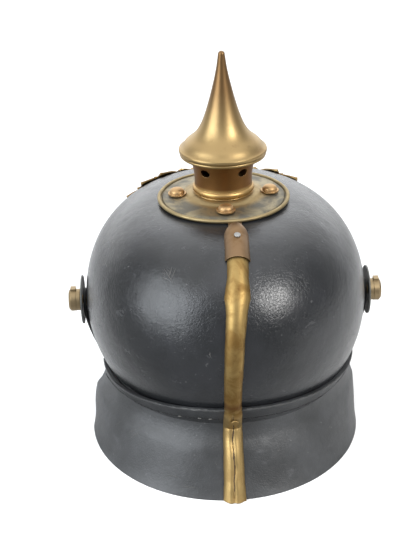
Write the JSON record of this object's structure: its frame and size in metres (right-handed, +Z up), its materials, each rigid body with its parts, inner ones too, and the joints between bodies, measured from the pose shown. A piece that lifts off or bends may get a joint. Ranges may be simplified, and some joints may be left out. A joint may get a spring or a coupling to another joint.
{
  "type": "spiked leather parade helmet",
  "caption": "Spiked black leather helmet with brass spike, base plate, ribbed rear spine with vent slide, front plate, two visors, cockades and chinstrap.",
  "frame": {"origin": "centre of the head opening, at the level that the visor edges rest on", "axes": "+Z up, -Y to the front, +X to the wearer's left"},
  "size_m": [0.2036, 0.2798, 0.2405],
  "materials": {
    "black_leather": "worn satin",
    "brown_leather": "matte",
    "brass": "aged",
    "dark_brass": "tarnished",
    "dark_metal": "worn satin",
    "steel": "satin"
  },
  "bodies": {
    "helmet": {"leather_shell": "black_leather", "front_visor": "black_leather", "rear_visor": "black_leather", "front_visor_trim": "brass", "base_plate": "brass", "base_studs": "brass", "stud_washers": "brown_leather", "spike_neck": "brass", "spike_cone": "brass", "rear_spine": "brass", "spine_rivet": "brass", "side_posts": "dark_brass", "post_nuts": "brass", "sweatband": "brown_leather", "liner_tongues": "brown_leather", "front_plate": "brass", "plate_loops": "brass", "plate_wedges": "brown_leather"},
    "vent_slide": {"vent_slide": "brass", "slide_rivet": "steel"},
    "cockade_left": {"cockade_left": "dark_metal"},
    "cockade_right": {"cockade_right": "dark_metal"},
    "chinstrap": {"chinstrap_left": "black_leather", "chinstrap_right": "black_leather", "strap_eyelets": "brass", "strap_buckles": "brass"}
  },
  "joints": [
    {"name": "vent_slide_travel", "type": "hinge", "parent": "helmet", "child": "vent_slide", "pos_m": [-0.00145, 0.04452, 0.0857], "axis": [-0.9986, 0, -0.0523], "range_deg": [0, 9]},
    {"name": "cockade_left_spin", "type": "hinge", "parent": "helmet", "child": "cockade_left", "pos_m": [0.0933, 0, 0.078], "axis": [1, 0, 0], "continuous": true},
    {"name": "cockade_right_spin", "type": "hinge", "parent": "helmet", "child": "cockade_right", "pos_m": [-0.0933, 0, 0.078], "axis": [-1, 0, 0], "continuous": true},
    {"name": "chinstrap_swing", "type": "hinge", "parent": "helmet", "child": "chinstrap", "pos_m": [0, 0, 0.078], "axis": [1, 0, 0], "range_deg": [-20, 9]}
  ]
}
